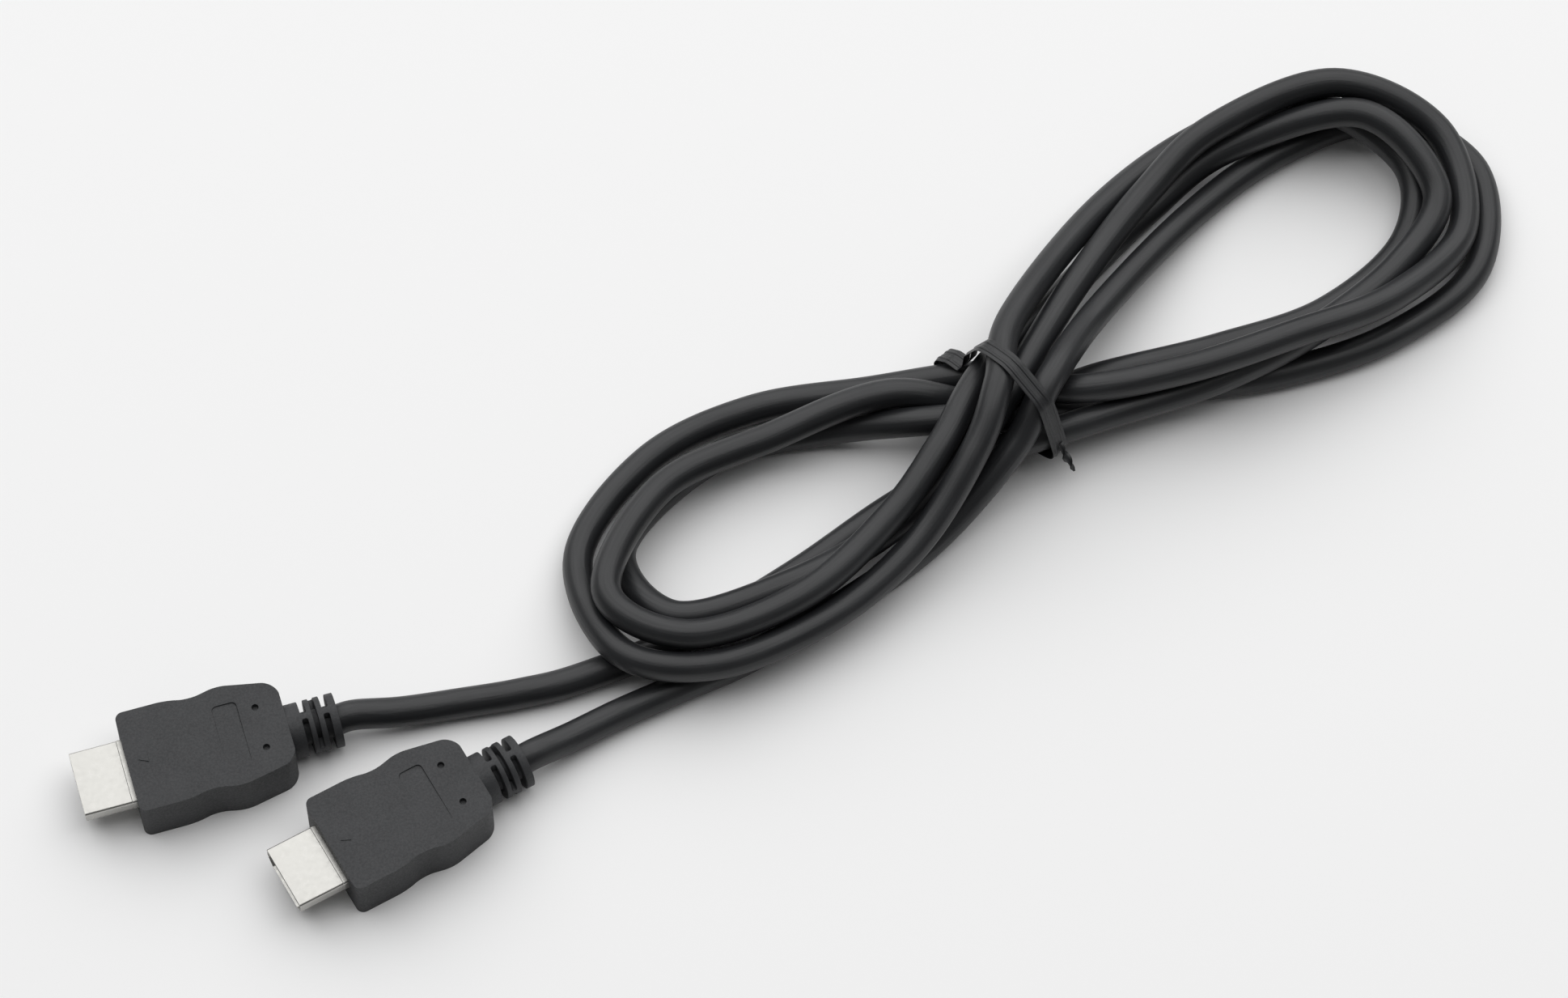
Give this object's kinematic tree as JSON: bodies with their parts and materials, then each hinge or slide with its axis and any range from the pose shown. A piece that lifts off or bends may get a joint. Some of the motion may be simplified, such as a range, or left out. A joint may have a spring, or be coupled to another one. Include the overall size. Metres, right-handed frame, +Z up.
{
  "type": "hdmi cable",
  "caption": "Black audio-video lead with a flat steel-nosed plug on each end, wound in a figure of eight and held by a twist tie.",
  "frame": {"origin": "middle of the outline of the whole lead, on the floor that it lies on", "axes": "+X along the longest extent, from the plugs towards the far loop; +Z up, away from the floor"},
  "size_m": [0.2834, 0.1866, 0.0263],
  "materials": {
    "grip_pvc": "fine matte moulded texture",
    "cable_pvc": "satin extruded jacket",
    "plated_steel": "bright nickel plating, finely brushed",
    "insulator_plastic": "smooth moulded",
    "contact_gold": "gold plated, bright",
    "tie_plastic": "satin plastic strip over wire"
  },
  "bodies": {
    "root": {"plug_a_grip": "grip_pvc", "plug_a_shell": "plated_steel", "plug_a_insulator": "insulator_plastic", "plug_a_contact_01": "contact_gold", "plug_a_contact_02": "contact_gold", "plug_a_contact_03": "contact_gold", "plug_a_contact_04": "contact_gold", "plug_a_contact_05": "contact_gold", "plug_a_contact_06": "contact_gold", "plug_a_contact_07": "contact_gold", "plug_a_contact_08": "contact_gold", "plug_a_contact_09": "contact_gold", "plug_a_contact_10": "contact_gold", "plug_a_contact_11": "contact_gold", "plug_a_contact_12": "contact_gold", "plug_a_contact_13": "contact_gold", "plug_a_contact_14": "contact_gold", "plug_a_contact_15": "contact_gold", "plug_a_contact_16": "contact_gold", "plug_a_contact_17": "contact_gold", "plug_a_contact_18": "contact_gold", "plug_a_contact_19": "contact_gold", "plug_b_grip": "grip_pvc", "plug_b_shell": "plated_steel", "plug_b_insulator": "insulator_plastic", "plug_b_contact_01": "contact_gold", "plug_b_contact_02": "contact_gold", "plug_b_contact_03": "contact_gold", "plug_b_contact_04": "contact_gold", "plug_b_contact_05": "contact_gold", "plug_b_contact_06": "contact_gold", "plug_b_contact_07": "contact_gold", "plug_b_contact_08": "contact_gold", "plug_b_contact_09": "contact_gold", "plug_b_contact_10": "contact_gold", "plug_b_contact_11": "contact_gold", "plug_b_contact_12": "contact_gold", "plug_b_contact_13": "contact_gold", "plug_b_contact_14": "contact_gold", "plug_b_contact_15": "contact_gold", "plug_b_contact_16": "contact_gold", "plug_b_contact_17": "contact_gold", "plug_b_contact_18": "contact_gold", "plug_b_contact_19": "contact_gold", "cable": "cable_pvc", "twist_tie": "tie_plastic"}
  },
  "joints": []
}
